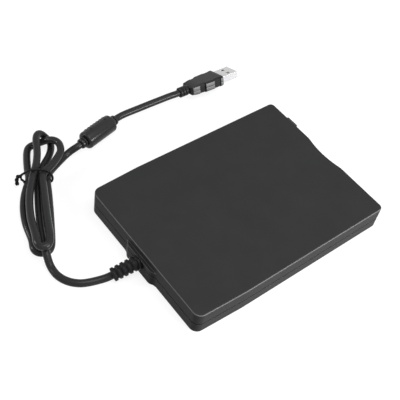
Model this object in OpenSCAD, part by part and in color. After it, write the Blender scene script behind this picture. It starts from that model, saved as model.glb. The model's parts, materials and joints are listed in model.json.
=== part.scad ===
// External 3.5 inch floppy disk drive with its cord, millimetres.
// Origin at the bottom centre of the drive. Front, slot and button at -Y, cord at +Y.

/* [Case] */
// Width of the case
case_w = 105; // [104.2:0.2:110]
// Length of the case
case_l = 142.8; // [141:0.2:150]
// Height of the case without its feet
case_h = 16.9; // [16.8:0.1:20]
// Height that the feet lift the case
foot_h = 0.6; // [0.4:0.1:2]
// Thickness of the side walls
wall_t = 1.8; // [1.4:0.1:2]
// Thickness of the roof
roof_t = 1.6; // [1.2:0.1:1.8]
// Thickness of the floor
floor_t = 2; // [1.4:0.1:2]
// Height of the bottom cover's side
seam_h = 7.8; // [7.2:0.1:8.4]
// Gap that shows between the covers
seam_gap = 0.4; // [0.2:0.1:0.6]
// Rounding of the upper edge
edge_r = 0.8; // [0.6:0.1:1.4]
// Rounding of the lower edge
low_edge_r = 0.5; // [0.4:0.1:1.2]
// Radius of the front corners, seen from above
front_r = 3; // [2:0.5:4]
// Radius of the back corners, seen from above
back_r = 5; // [4:0.5:6]
// How far each side draws in towards the back
taper = 1.4; // [0.6:0.2:1.6]
// Length over which the sides draw in
taper_l = 33; // [25:1:36]
// Diameter of the rubber feet
foot_d = 8; // [6:0.5:8.5]
// Diameter of the case screws
screw_d = 2.6; // [2.2:0.1:2.8]

/* [Front] */
// Half width of the finger scoop
scoop_w = 18.5; // [14:0.5:20]
// Depth of the finger scoop
scoop_d = 2.25; // [1.5:0.05:2.4]
// Radius of the hollow of the scoop
scoop_r = 60; // [45:1:65]
// Width of the disk slot
slot_w = 92.6; // [92.4:0.2:93]
// Height of the disk slot
slot_h = 4.6; // [4.4:0.1:4.7]
// Distance that the eject button stands out
button_out = 8.4; // [5.8:0.1:9]
// Width of the eject button
button_w = 9.6; // [8:0.2:11]
// Height of the eject button
button_h = 4.4; // [4:0.1:4.4]
// Distance of the button from the middle
button_x = 37.5; // [35:0.5:38]
// Width of the activity lamp
lamp_w = 4; // [3:0.5:5]

/* [Back] */
// Half width of the raised pad round the cord
pad_w = 9.8; // [9:0.2:11]
// Distance that the pad stands out
pad_out = 1.8; // [1:0.1:2]
// Length of the pad's sloping ends
pad_slope = 5; // [4:0.5:6]
// Height of the pad
pad_h = 11.7; // [11:0.1:12.5]

/* [Mechanism] */
// Travel of the eject button
travel = 4.6; // [4:0.1:4.8]
// Rise of the disk holder
lift = 2.3; // [2:0.1:2.4]
// Width of the disk that fits
disk_w = 90; // [89.8:0.1:90.2]
// Length of the disk that fits
disk_l = 94; // [93.5:0.1:94.5]
// Inner height of the disk holder
holder_gap = 4.3; // [4.2:0.05:4.4]
// Thickness of the steel plates that move
plate_t = 0.5; // [0.4:0.05:0.5]
// Thickness of the chassis steel
steel_t = 0.8; // [0.7:0.05:0.9]
// Radius of the rotor
rotor_r = 20.5; // [19.5:0.1:20.8]
// Radius of the spindle shaft
shaft_r = 1.5; // [1.2:0.1:1.6]
// Travel of the heads
head_travel = 14.8; // [14:0.1:14.8]
// Radius of the guide rod
rod_r = 1.25; // [1.1:0.05:1.25]
// Radius of the lead screw
lead_r = 1.3; // [1.1:0.05:1.4]
// Radius of the stepper motor
stepper_r = 5; // [4.6:0.1:5]

/* [Cord] */
// Diameter of the cord
cord_d = 4.6; // [4.2:0.1:4.6]
// Diameter of the twist tie
tie_d = 1.2; // [1:0.1:1.2]
// Diameter of the ferrite moulding
ferrite_d = 12.3; // [11:0.1:12.3]
// Length of the ferrite barrel
ferrite_l = 24; // [22:0.5:26]
// Width of the plug moulding
plug_w = 15.6; // [14:0.1:15.6]
// Thickness of the plug moulding
plug_h = 7.2; // [7:0.1:8]
// Length of the plug moulding
plug_l = 26.4; // [25:0.2:28]
// Width of the metal shell
shell_w = 12; // [11.9:0.1:12.1]
// Height of the metal shell
shell_h = 4.5; // [4.4:0.1:4.6]
// Length of the metal shell that shows
shell_l = 12.9; // [11.8:0.1:13.2]

/* [Hidden] */

// Clearances: loose between moving parts, snug for seated parts, run for shafts in bores
loose = 0.25;
snug = 0.1;
run = 0.05;
over = 1;      // how far a cutter runs past the face that it opens
fine = 96;
small = 32;

// Heights and ends of the case
mid_y = (button_out - pad_out) / 2; // puts the origin halfway from the button to the pad
front_y = mid_y - case_l / 2;
back_y = mid_y + case_l / 2;
case_z = foot_h;
top_z = case_z + case_h;
floor_z = case_z + floor_t;
roof_z = top_z - roof_t;
seam_z = case_z + seam_h;
hw = case_w / 2;
inner_w = hw - wall_t;
tongue_h = 1;
tongue_t = wall_t / 2 - 0.1;

// Front window and bezel
window_w = slot_w / 2 + 1.5;
bezel_w = window_w - 0.2;
bezel_set = 0.4;
bezel_y = front_y + 4;
bezel_z = [floor_z + 0.15, roof_z - 0.15];

// Mechanism heights
mech_z = floor_z + 0.4;
deck_z = mech_z + steel_t;
hub_z = mech_z + 4.9;
lip_z = hub_z - 0.4;
holder_top = lip_z + holder_gap;
slide_z = holder_top + plate_t + lift + 0.15;
slot_z = hub_z + 1.7;
button_z = slot_z - 0.6 - button_h;
tab_z = [button_z + 0.4, button_z + button_h - 0.4];

// Mechanism widths
holder_in = disk_w / 2 + 0.9;
holder_out = holder_in + plate_t;
chassis_w = holder_out + 0.8 + steel_t;
flange_w = chassis_w + loose;

// Mechanism lengths
disk_y = front_y + 7;
disk_end = disk_y + disk_l;
holder_y = [front_y + 11.5, disk_end - 2];
spindle_y = disk_y + disk_l / 2;
chassis_y = [front_y + 7, back_y - 14];
chassis_wall_y = front_y + 13;
chassis_wall_z = holder_top + plate_t + 1.9;
pin_ys = [front_y + 27, front_y + 79];
pin_r = 1;
pin_z = lip_z + holder_gap / 2 + 0.25;
slide_y = [front_y + 15, front_y + 86];
flange_z = lip_z + 0.3;
tab_y = bezel_y + 0.5;

// Door
door_r = 1;
door_pin_r = 0.6;
door_at = [bezel_y + door_r + 0.1, slot_z + slot_h + 0.3];
door_w = slot_w / 2 - 0.4;
door_t = 0.7;

// Heads
head_y = spindle_y + 39.7;
rod_x = -13;
rod_z = mech_z + 2.9;
rod_y = [back_y - 67.5, back_y - 17];
carriage_z = [mech_z + 1.4, hub_z - 0.3];
carriage_back = head_y + 27.3;
arm_y = carriage_back - 2.4;
arm_z = holder_top + 0.6;
arm_pin_r = 0.75;
lead_x = 16;
lead_z = deck_z + stepper_r + 0.1;
bracket_y = [disk_end + 0.4, disk_end + 19.2];
nut_y = carriage_back - 2.6;

// Screws and feet
post_at = [44, back_y - 9];
chassis_screw_at = [[40, front_y + 23], [40, back_y - 31]];
foot_at = [[40, front_y + 11], [40, back_y - 19.5]];
head_d = screw_d + 2.2;

// ---------- outlines ----------

// Case outline drawn in by d from the outer face
module case_plan(d = 0) {
    w = hw - d;
    l = back_y - d;
    lean = atan(taper / taper_l);
    ty = back_y - taper_l;
    fc = [hw - front_r, front_y + front_r];
    bc = back_centre();
    reach = back_r - d;
    half = [[0, front_y + d], [fc.x, front_y + d], fc, [w, fc.y], [w, ty - d * tan(lean / 2)],
            bc + reach * [cos(lean), sin(lean)], bc, [bc.x, l], [0, l]];
    for (s = [0, 1]) mirror([s, 0]) {
        polygon(half);
        translate(fc) pie(front_r - d, -90, 0);
        translate(bc) pie(reach, lean, 90);
    }
}

// Centre of the round back corner
function back_centre() =
    let(lean = atan(taper / taper_l), y = back_y - back_r)
    [hw - back_r / cos(lean) - tan(lean) * (y - back_y + taper_l), y];

// Slice of a disc between two angles
module pie(r, a, b) {
    mid = (a + b) / 2;
    intersection() {
        circle(r, $fn = fine);
        polygon([[0, 0], 2 * r * [cos(a), sin(a)], 3 * r * [cos(mid), sin(mid)], 2 * r * [cos(b), sin(b)]]);
    }
}

// What the finger scoop takes off the front, drawn in by d: a hollow between two round shoulders
module scoop_plan(d = 0) {
    reach = (scoop_w * scoop_w + scoop_d * scoop_d) / (2 * scoop_d);
    hollow_w = scoop_w * scoop_r / reach;
    shoulder_r = reach - scoop_r;
    cuts = 16;
    edge = [for (i = [-cuts : cuts]) let(x = scoop_w * i / cuts, u = scoop_w - abs(x))
        [x, abs(x) < hollow_w ? scoop_d - scoop_r + sqrt(scoop_r * scoop_r - x * x)
            : shoulder_r - sqrt(shoulder_r * shoulder_r - u * u)]];
    translate([0, front_y + d]) polygon(concat([[-scoop_w, -over]], edge, [[scoop_w, -over]]));
}

// Outline of the raised pad at the back
module pad_plan() {
    r = (pad_slope * pad_slope + pad_out * pad_out) / (4 * pad_out);
    out_y = back_y + pad_out;
    mid = pad_slope / 2;
    translate([-pad_w, back_y - wall_t]) square([2 * pad_w, pad_out + wall_t]);
    for (s = [0, 1]) mirror([s, 0]) {
        intersection() {
            translate([pad_w, out_y - r]) circle(r, $fn = fine);
            translate([pad_w, back_y - 0.5]) square([mid, pad_out + 0.5]);
        }
        difference() {
            translate([pad_w + mid, back_y - 0.5]) square([mid, pad_out / 2 + 0.5]);
            translate([pad_w + pad_slope, back_y + r]) circle(r, $fn = fine);
        }
        translate([pad_w, back_y - 0.5]) square([mid, 0.5]);
    }
}

// Case body between two heights, its outer edge rolled at one end
module case_block(z0, z1, round_top) {
    h = z1 - z0;
    e = round_top ? edge_r : low_edge_r;
    translate([0, 0, round_top ? z0 : z1]) mirror([0, 0, round_top ? 0 : 1]) hull() both_sides() {
        rolled_post([hw - front_r, front_y + front_r], front_r, h, e);
        rolled_post([hw - e, back_y - taper_l], e, h, e);
        rolled_post(back_centre(), back_r, h, e);
    }
}

// Round post whose upper edge is rolled
module rolled_post(at, r, h, e) {
    translate(at) rotate_extrude($fn = small) polygon(concat([[0, 0], [r, 0]],
        [for (a = [0 : 15 : 90]) [r - e + e * cos(a), h - e + e * sin(a)]], r > e ? [[0, h]] : []));
}

// Bore along Y
module y_bore(r, y0, y1, fn = small) {
    translate([0, y1, 0]) rotate([90, 0, 0]) cylinder(r = r, h = y1 - y0, $fn = fn);
}

// Cylinder along X
module x_rod(r, x0, x1, fn = small) {
    translate([x0, 0, 0]) rotate([0, 90, 0]) cylinder(r = r, h = x1 - x0, $fn = fn);
}

// Box from its lowest to its highest corner
module span(a, b) {
    translate(a) cube(b - a);
}

// The same thing on the left and on the right
module both_sides() {
    for (s = [0, 1]) mirror([s, 0, 0]) children();
}

// ---------- case ----------

neck_r = 3.2;
relief_flange_r = 5;
relief_flange_t = 1.4;

// Hole for the strain relief, where the covers meet
module relief_hole() {
    translate([0, 0, seam_z]) y_bore(neck_r + snug, back_y - wall_t - 5, back_y + pad_out + over);
}

// Space behind the front wall that the bezel fills
module front_window() {
    span([-window_w, front_y - over, floor_z], [window_w, bezel_y + 0.2, roof_z]);
}

module cavity(z0, z1, d) {
    translate([0, 0, z0]) linear_extrude(z1 - z0) case_plan(d);
}

module top_cover() {
    low = seam_z + seam_gap / 2;
    color([0.2, 0.2, 0.2]) {
        difference() {
            union() {
                case_block(low, top_z, true);
                translate([0, 0, low]) linear_extrude(case_z + pad_h - low) pad_plan();
            }
            cavity(low - over, roof_z, wall_t);
            cavity(low - over, seam_z + seam_gap / 2 + tongue_h + 0.2, wall_t - tongue_t - snug);
            front_window();
            relief_hole();
            translate([0, 0, case_z]) linear_extrude(case_h + over) scoop_plan();
        }
        both_sides() difference() {
            translate([post_at.x, post_at.y, seam_z])
                cylinder(d = screw_d + 3.4, h = roof_z - seam_z + 0.4, $fn = small);
            translate([post_at.x, post_at.y, seam_z - over])
                cylinder(d = screw_d + 0.04, h = roof_z - seam_z + over - 0.6, $fn = small);
        }
    }
}

module screw_seat(at, h) {
    translate([at.x, at.y, floor_z - 0.4]) cylinder(d = head_d + 2, h = h, $fn = small);
}

module screw_way(at, top) {
    translate([at.x, at.y, case_z - over]) {
        cylinder(d = screw_d + 0.3, h = top + over, $fn = small);
        cylinder(d = head_d + 0.4, h = over + 1.4, $fn = small);
    }
}

module bottom_cover() {
    high = seam_z - seam_gap / 2;
    color([0.23, 0.23, 0.23]) difference() {
        union() {
            difference() {
                union() {
                    case_block(case_z, high, false);
                    translate([0, 0, case_z]) linear_extrude(high - case_z) pad_plan();
                    translate([0, 0, high - 0.5]) linear_extrude(tongue_h + 0.5)
                        case_plan(wall_t - tongue_t);
                }
                cavity(floor_z, high + tongue_h + over, wall_t);
                translate([0, 0, case_z - over]) linear_extrude(case_h) scoop_plan();
            }
            both_sides() {
                for (at = chassis_screw_at) screw_seat(at, mech_z - floor_z + 0.4);
                translate([post_at.x, post_at.y, floor_z - 0.4])
                    cylinder(d = head_d + 2, h = seam_z - floor_z + 0.4, $fn = small);
            }
            // Low ribs under the interface board
            for (x = board_x) span([x - 0.6, board_y[0] + 1, floor_z - 0.4],
                                   [x + 0.6, board_y[1] - 1, board_z]);
        }
        both_sides() {
            for (at = chassis_screw_at) screw_way(at, mech_z - case_z + over);
            screw_way(post_at, seam_z - case_z + over);
            for (at = foot_at) translate([at.x, at.y, case_z - over])
                cylinder(d = foot_d + 0.2, h = over + 0.5, $fn = small);
        }
        front_window();
        relief_hole();
    }
}

module front_bezel() {
    ear = [door_w + 0.7, bezel_w];
    color([0.21, 0.21, 0.21]) difference() {
        union() {
            translate([0, 0, bezel_z[0]]) linear_extrude(bezel_z[1] - bezel_z[0])
                difference() {
                    translate([-bezel_w, front_y + bezel_set])
                        square([2 * bezel_w, bezel_y - front_y - bezel_set]);
                    scoop_plan(bezel_set);
                }
            both_sides() difference() {
                span([ear[0], bezel_y - 0.4, door_at.y - 1.3],
                     [ear[1], door_at.x + 1, bezel_z[1]]);
                translate([0, door_at.x, door_at.y]) x_rod(door_pin_r + 0.02, ear[0] - 1, ear[1] + 1);
            }
        }
        span([-slot_w / 2, front_y - over, slot_z], [slot_w / 2, bezel_y + 0.02, slot_z + slot_h]);
        slot_mouth();
        span([button_x - button_w / 2 - loose, front_y - over, button_z - loose],
             [button_x + button_w / 2 + loose, bezel_y + over, button_z + button_h + loose]);
        translate([-button_x - 3, 0, button_z + button_h / 2])
            span([-lamp_w / 2 - snug, front_y - over, -0.8 - snug],
                 [lamp_w / 2 + snug, bezel_y + over, 0.8 + snug]);
    }
}

// Bevel that leads the disk into the slot
module slot_mouth() {
    b = 0.8;
    mouth = front_y + bezel_set;
    depth = scoop_d + b;
    translate([-slot_w / 2, 0, 0]) rotate([90, 0, 90]) linear_extrude(slot_w)
        polygon([[mouth - over, slot_z - b], [mouth, slot_z - b], [mouth + depth, slot_z],
                 [mouth + depth, slot_z + slot_h], [mouth, slot_z + slot_h + b],
                 [mouth - over, slot_z + slot_h + b]]);
}

module dust_door() {
    spring_gap = 6;
    color([0.18, 0.18, 0.18]) difference() {
        union() {
            span([-door_w, door_at.x - 0.95, slot_z - 0.3],
                 [door_w, door_at.x - 0.95 + door_t, door_at.y]);
            translate([0, door_at.x, door_at.y]) x_rod(door_r, -door_w + spring_gap, door_w);
        }
        translate([0, door_at.x, door_at.y]) x_rod(door_pin_r + run, -door_w - over, door_w + over);
        span([-door_w - over, door_at.x - door_r - 0.2, door_at.y - door_r - 0.15],
             [-door_w + spring_gap, door_at.x + 2, door_at.y + 2]);
    }
}

module door_pin() {
    color("silver") translate([0, door_at.x, door_at.y]) x_rod(door_pin_r, -bezel_w, bezel_w);
}

module door_spring() {
    turns = 5;
    r = door_pin_r + 0.28;
    x0 = -door_w + 0.3;
    pitch = 0.8;
    per_turn = 8;
    coil = [for (i = [0 : turns * per_turn]) let(a = 360 * i / per_turn)
        [x0 + pitch * i / per_turn, door_at.x + r * cos(a), door_at.y + r * sin(a)]];
    color("silver") tube(coil, 0.15, 5, [1, 0, 0]);
}

module activity_lamp() {
    color([0.3, 0.5, 0.25]) translate([-button_x - 3, 0, button_z + button_h / 2])
        span([-lamp_w / 2, front_y + bezel_set + 0.2, -0.8], [lamp_w / 2, bezel_y + 1.2, 0.8]);
}

// ---------- eject parts ----------

module eject_button() {
    half = button_w / 2;
    mid = [button_x, button_z + button_h / 2];
    color([0.24, 0.24, 0.24]) difference() {
        union() {
            translate([mid.x, tab_y, mid.y]) rotate([90, 0, 0])
                linear_extrude(tab_y - front_y + button_out - 0.6)
                    rounded_square([button_w, button_h], 0.8);
            translate([mid.x, front_y - button_out + 0.6, mid.y]) rotate([90, 0, 0])
                linear_extrude(0.6) rounded_square([button_w - 0.6, button_h - 0.6], 0.6);
            span([mid.x - half + 1, tab_y - 0.5, button_z],
                 [mid.x + half - 1, tab_y + plate_t + 0.7, button_z + button_h]);
        }
        span([mid.x - half, tab_y, tab_z[0] - run],
             [mid.x + half + over, tab_y + plate_t + run, tab_z[1] + run]);
        span([mid.x - half - over, tab_y + plate_t, tab_z[0] + 0.5],
             [mid.x + half + over, tab_y + 3, tab_z[1] - 0.5]);
    }
}

module rounded_square(size, r) {
    w = size.x / 2 - r;
    h = size.y / 2 - r;
    square([size.x, 2 * h], center = true);
    square([2 * w, size.y], center = true);
    for (x = [-w, w], y = [-h, h]) translate([x, y]) circle(r, $fn = small);
}

// Round-ended slot from one point to another
module slot_between(a, b, r) {
    d = b - a;
    translate(a) circle(r, $fn = small);
    translate(b) circle(r, $fn = small);
    w = r - 0.03;
    translate(a) rotate(atan2(d.y, d.x)) translate([0, -w]) square([norm(d), 2 * w]);
}

spring_at = [43.5, mech_z + 2.4];
spring_y = [front_y + 29, front_y + 53.6];
spring_r = 1.1;

// Side of the slide plate, a profile in Y and Z
module flange_plan() {
    difference() {
        union() {
            translate([slide_y[0], flange_z]) square([pin_ys[1] + 4 - slide_y[0],
                                                      slide_z + plate_t - flange_z]);
            translate([spring_y[1], spring_at.y - 1]) square([4, slide_z - spring_at.y]);
        }
        for (y = pin_ys)
            slot_between([y, pin_z], [y - travel, pin_z + lift], pin_r + 0.15);
    }
}

module slide_plate() {
    t = plate_t;
    color([0.75, 0.76, 0.78]) {
        both_sides() {
            translate([flange_w, 0, 0]) rotate([90, 0, 90]) linear_extrude(t) flange_plan();
            span([38, slide_y[0], slide_z], [flange_w + t, slide_y[1] - 1, slide_z + t]);
            span([spring_at.x - 1.5, spring_y[1], spring_at.y - 1],
                 [flange_w + t, spring_y[1] + t, spring_at.y + 1]);
        }
        span([-38, slide_y[0], slide_z], [38, slide_y[0] + 10, slide_z + t]);
        // Arm to the button, on the right-hand side
        span([flange_w, tab_y, tab_z[0]], [flange_w + t, slide_y[0] + 6, tab_z[1]]);
        span([flange_w, slide_y[0], tab_z[0]], [flange_w + t, slide_y[0] + 6, flange_z + 1]);
        span([button_x - 1, tab_y, tab_z[0]], [flange_w + t, tab_y + t, tab_z[1]]);
    }
}

module eject_springs() {
    turns = 9;
    per_turn = 8;
    y0 = spring_y[0] + plate_t + 0.15;
    len = spring_y[1] - y0 - 0.15;
    coil = [for (i = [0 : turns * per_turn]) let(a = 360 * i / per_turn)
        [spring_at.x + spring_r * cos(a), y0 + len * i / (turns * per_turn),
         spring_at.y + spring_r * sin(a)]];
    color("silver") both_sides() tube(coil, 0.2, 5, [0, 1, 0]);
}

module disk_holder() {
    t = plate_t;
    lip_w = 4.5;
    head_gap = 9;
    color([0.8, 0.81, 0.82]) difference() {
        union() {
            span([-holder_out, holder_y[0], holder_top], [holder_out, holder_y[1], holder_top + t]);
            both_sides() {
                span([holder_in, holder_y[0], lip_z - t], [holder_out, holder_y[1], holder_top + t]);
                span([holder_out - lip_w, holder_y[0], lip_z - t], [holder_out, holder_y[1], lip_z]);
            }
        }
        // Gap for the upper head arm, open at the back
        span([-head_gap, head_y - head_travel - 6, holder_top - over],
             [head_gap, holder_y[1] + over, holder_top + t + over]);
        lever_track();
        // Lightening windows in the top plate
        both_sides() for (y = [23, 51])
            translate([22, disk_y + y, holder_top - over]) linear_extrude(t + 2 * over)
                rounded_square([20, 18], 3);
    }
}

lever_at = [-36, disk_end - 6];
lever_l = 22;
lever_turn = 35;

// Curved slot that the lever's pin follows
module lever_track() {
    w = 1.6;
    translate([lever_at.x, lever_at.y, holder_top - over]) {
        rotate([0, 0, -lever_turn - 1]) rotate_extrude(angle = lever_turn + 2, $fn = fine)
            translate([lever_l - w, 0]) square([2 * w, plate_t + 2 * over]);
        for (a = [1, -lever_turn - 1]) rotate([0, 0, a]) translate([lever_l, 0, 0])
            cylinder(r = w + 0.05, h = plate_t + 2 * over, $fn = small);
    }
}

module shutter_lever() {
    z = holder_top + plate_t + run;
    color([0.85, 0.85, 0.85]) translate([lever_at.x, lever_at.y, 0]) {
        difference() {
            translate([0, 0, z]) linear_extrude(plate_t) {
                circle(3, $fn = small);
                translate([lever_l, 0]) circle(1.8, $fn = small);
                polygon([[0, -3], [lever_l, -1.8], [lever_l, 1.8], [0, 3]]);
            }
            translate([0, 0, z - over]) cylinder(r = 1 + run, h = 3, $fn = small);
        }
        translate([lever_l, 0, holder_top - 2]) cylinder(r = 1, h = 2 + plate_t + 0.3, $fn = small);
    }
}

module lever_pivot() {
    z = holder_top + plate_t;
    color("silver") translate([lever_at.x, lever_at.y, 0]) {
        translate([0, 0, z]) cylinder(r = 1, h = plate_t + 2 * run, $fn = small);
        translate([0, 0, z + plate_t + 2 * run]) cylinder(r = 1.9, h = 0.25, $fn = small);
    }
}

module holder_pins() {
    color("silver") both_sides() for (y = pin_ys) translate([0, y, pin_z])
        x_rod(pin_r, holder_out, flange_w + plate_t);
}

// ---------- chassis ----------

module chassis() {
    w = chassis_w;
    t = steel_t;
    color([0.7, 0.72, 0.74]) difference() {
        union() {
            span([-w, chassis_y[0], mech_z], [w, chassis_y[1], deck_z]);
            both_sides() {
                span([w - t, chassis_wall_y, mech_z], [w, chassis_y[1], chassis_wall_z]);
                span([38, chassis_y[1] - t, mech_z], [w, chassis_y[1], deck_z + 5]);
                for (at = chassis_screw_at) translate([at.x, at.y, mech_z])
                    cylinder(d = screw_d + 2.4, h = t + 1.2, $fn = small);
                // Hook that the spring pulls on
                span([spring_at.x - 2, spring_y[0], deck_z - 0.2],
                     [spring_at.x + 1.8, spring_y[0] + plate_t, spring_at.y + 1]);
            }
        }
        both_sides() {
            for (y = pin_ys)
                translate([w - t - 0.2, 0, 0]) rotate([90, 0, 90]) linear_extrude(t + 0.4)
                    slot_between([y, pin_z], [y, pin_z + lift], pin_r + 0.15);
            span([w - t - 0.2, spring_y[1] - 0.4, spring_at.y - 1.3],
                 [w + 0.2, spring_y[1] + plate_t + travel + 0.4, spring_at.y + 1.3]);
            for (at = chassis_screw_at) translate([at.x, at.y, mech_z - over])
                cylinder(d = screw_d + 2 * run, h = 6, $fn = small);
            // Pressed windows
            for (y = [6, 76]) translate([22, disk_y + y, mech_z - over]) linear_extrude(t + 2 * over)
                rounded_square([20, 10], 2);
        }
        translate([0, spindle_y, mech_z - over]) cylinder(r = bearing_r, h = t + 2 * over, $fn = fine);
        translate([0, disk_end, mech_z - over]) linear_extrude(t + 2 * over) rounded_square([12, 26], 2);
    }
}

// ---------- spindle ----------

bearing_r = 4;
stator_z = [deck_z + 0.7, deck_z + 2.3];

module motor_board() {
    color([0.15, 0.35, 0.2]) translate([0, 0, deck_z]) linear_extrude(0.6) difference() {
        translate([0, spindle_y - 4]) rounded_square([60, 48], 3);
        translate([0, spindle_y]) circle(bearing_r + snug, $fn = fine);
    }
}

module stator() {
    poles = 12;
    color([0.72, 0.45, 0.2]) translate([0, spindle_y, 0]) difference() {
        union() {
            translate([0, 0, stator_z[0]]) cylinder(r = 8.5, h = 1.5, $fn = fine);
            for (i = [0 : poles - 1]) rotate([0, 0, i * 360 / poles]) {
                span([7, -1, stator_z[0] + 0.3], [16, 1, stator_z[0] + 1.2]);
                span([9, -1.6, stator_z[0]], [14, 1.6, stator_z[1]]);
                span([16, -3, stator_z[0] + 0.3], [17.2, 3, stator_z[0] + 1.2]);
            }
            translate([0, 0, deck_z + 0.6]) cylinder(r = 6, h = 0.3, $fn = fine);
        }
        translate([0, 0, deck_z - over]) cylinder(r = bearing_r + snug, h = 8, $fn = fine);
    }
}

module spindle_bearing() {
    color([0.8, 0.65, 0.3]) translate([0, spindle_y, 0]) difference() {
        union() {
            translate([0, 0, mech_z + 0.1])
                cylinder(r = bearing_r - 0.02, h = hub_z - mech_z - 2, $fn = fine);
        }
        translate([0, 0, mech_z - over]) cylinder(r = shaft_r + run, h = 9, $fn = fine);
    }
}

module rotor_cup() {
    top = hub_z - 0.6;
    low = deck_z + 1;
    color([0.75, 0.75, 0.77]) translate([0, spindle_y, 0]) difference() {
        translate([0, 0, low]) cylinder(r = rotor_r, h = top - low, $fn = fine);
        translate([0, 0, low - over]) cylinder(r = rotor_r - 1.8, h = top - low - 0.6 + over, $fn = fine);
        translate([0, 0, low - over]) cylinder(r = shaft_r + 0.02, h = 9, $fn = fine);
        translate([10, 0, low]) cylinder(r = 1.02, h = 9, $fn = small);
        for (i = [0 : 5]) rotate([0, 0, 30 + 60 * i]) translate([15.5, 0, low])
            cylinder(r = 1.4, h = 9, $fn = small);
    }
}

module hub_plate() {
    color([0.85, 0.85, 0.86]) translate([0, spindle_y, hub_z - 0.6]) difference() {
        cylinder(r = 12.5, h = 0.6, $fn = fine);
        translate([0, 0, -over]) cylinder(r = shaft_r + 0.02, h = 4, $fn = fine);
        translate([10, 0, -over]) cylinder(r = 1.02, h = 4, $fn = small);
    }
}

module spindle_shaft() {
    color("silver") translate([0, spindle_y, mech_z + 0.3]) {
        cylinder(r = shaft_r, h = hub_z - mech_z + 0.6, $fn = fine);
        translate([0, 0, hub_z - mech_z + 0.6])
            cylinder(r1 = shaft_r, r2 = shaft_r - 0.6, h = 0.4, $fn = fine);
    }
}

module drive_pin() {
    color("silver") translate([10, spindle_y, hub_z - 1.2]) cylinder(r = 1, h = 1.9, $fn = small);
}

// ---------- heads ----------

module head_carriage() {
    z0 = carriage_z[0];
    z1 = carriage_z[1];
    tower = arm_z + 1.2;
    neck_y = disk_end + 0.4;
    color([0.82, 0.8, 0.72]) difference() {
        union() {
            span([-5, head_y - 3, z0], [5, neck_y, z1]);
            span([rod_x - 3.4, neck_y, z0], [7, carriage_back, z1]);
            span([-4.4, carriage_back - 4.7, z1 - 0.2], [4.4, carriage_back, tower]);
            // Nut arm
            span([6.5, nut_y - 0.8, z0 + 0.4], [lead_x, nut_y + 0.8, z1]);
            translate([lead_x, 0, lead_z]) y_bore(lead_r + 1.3, nut_y - 0.8, nut_y + 0.8);
        }
        translate([rod_x, 0, rod_z]) y_bore(rod_r + 0.04, neck_y - over, carriage_back + over);
        translate([lead_x, 0, lead_z]) y_bore(lead_r + run, nut_y - 2, nut_y + 2);
        translate([0, arm_y, arm_z]) x_rod(arm_pin_r + 0.02, -6, 6);
        // Pocket that saves weight
        span([-8, neck_y + 3, z1 - 1.4], [4, carriage_back - 8, z1 + over]);
    }
}

module lower_head() {
    color([0.3, 0.3, 0.32]) {
        span([-2, head_y - 2.5, carriage_z[1]], [2, head_y + 2.5, hub_z + 1.3]);
        span([-1, head_y - 1.2, hub_z + 1.3], [1, head_y + 1.2, hub_z + 1.5]);
    }
}

module upper_arm() {
    t = 0.8;
    side = 4.7;
    color([0.82, 0.8, 0.72]) difference() {
        union() {
            translate([0, 0, arm_z - 0.4]) linear_extrude(t)
                polygon([[-3, head_y - 3], [3, head_y - 3], [side + 1.2, head_y + 8],
                         [side + 1.2, arm_y - 4], [-side - 1.2, arm_y - 4], [-side - 1.2, head_y + 8]]);
            both_sides() {
                span([side, arm_y - 5, arm_z - 0.4], [side + 1.2, arm_y, arm_z + 0.7]);
                translate([0, arm_y, arm_z]) x_rod(1.3, side, side + 1.2);
            }
        }
        translate([0, arm_y, arm_z]) x_rod(arm_pin_r + run, -8, 8);
        translate([0, arm_y, arm_z]) x_rod(2.6, -side, side);
    }
}

module upper_head() {
    color([0.3, 0.3, 0.32]) {
        span([-2, head_y - 2.5, hub_z + 2.2], [2, head_y + 2.5, arm_z - 0.4]);
        span([-1, head_y - 1.2, hub_z + 2], [1, head_y + 1.2, hub_z + 2.2]);
    }
}

module arm_pin() {
    color("silver") translate([0, arm_y, arm_z]) x_rod(arm_pin_r, -6.6, 6.6);
}

// Leaf spring that presses the upper arm down
module arm_spring() {
    z = arm_z + 1.2;
    color("silver") translate([-3, 0, 0]) rotate([90, 0, 90]) linear_extrude(6)
        polygon([[carriage_back - 0.2, z], [carriage_back - 4.5, z], [arm_y - 8, arm_z + 0.8],
                 [arm_y - 10, arm_z + 0.45], [arm_y - 10, arm_z + 0.65], [arm_y - 8, arm_z + 1],
                 [carriage_back - 4.5, z + 0.2], [carriage_back - 0.2, z + 0.2]]);
}

module guide_rod() {
    color("silver") translate([rod_x, 0, rod_z]) y_bore(rod_r, rod_y[0], rod_y[1]);
}

clamp_l = 2.6;
clamp_ys = [rod_y[0], rod_y[1] - clamp_l];

module rod_clamps() {
    color([0.7, 0.72, 0.74]) for (y = clamp_ys) difference() {
        span([rod_x - 6.5, y, deck_z], [rod_x + 2.6, y + clamp_l, rod_z + rod_r + 0.5]);
        translate([rod_x, 0, rod_z]) y_bore(rod_r + 0.02, y - over, y + clamp_l + over);
        translate([rod_x - 4.4, y + clamp_l / 2, mech_z]) cylinder(r = 0.9, h = 9, $fn = small);
    }
}

module clamp_screws() {
    color("silver") for (y = clamp_ys)
        translate([rod_x - 4.4, y + clamp_l / 2, deck_z]) {
            cylinder(r = 0.85, h = rod_z + rod_r + 0.5 - deck_z, $fn = small);
            translate([0, 0, rod_z + rod_r + 0.5 - deck_z]) cylinder(r = 1.2, h = 0.25, $fn = small);
        }
}

module stepper_motor() {
    y1 = bracket_y[1] + 0.8;
    color([0.6, 0.6, 0.62]) difference() {
        union() {
            translate([lead_x, 0, lead_z]) y_bore(stepper_r, y1, y1 + 8);
            span([lead_x - 9, y1 + 2, deck_z + 0.2], [lead_x, y1 + 6, deck_z + 3]);
        }
        translate([lead_x, 0, lead_z]) y_bore(lead_r + run, y1 - over, y1 + 7);
    }
}

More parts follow.
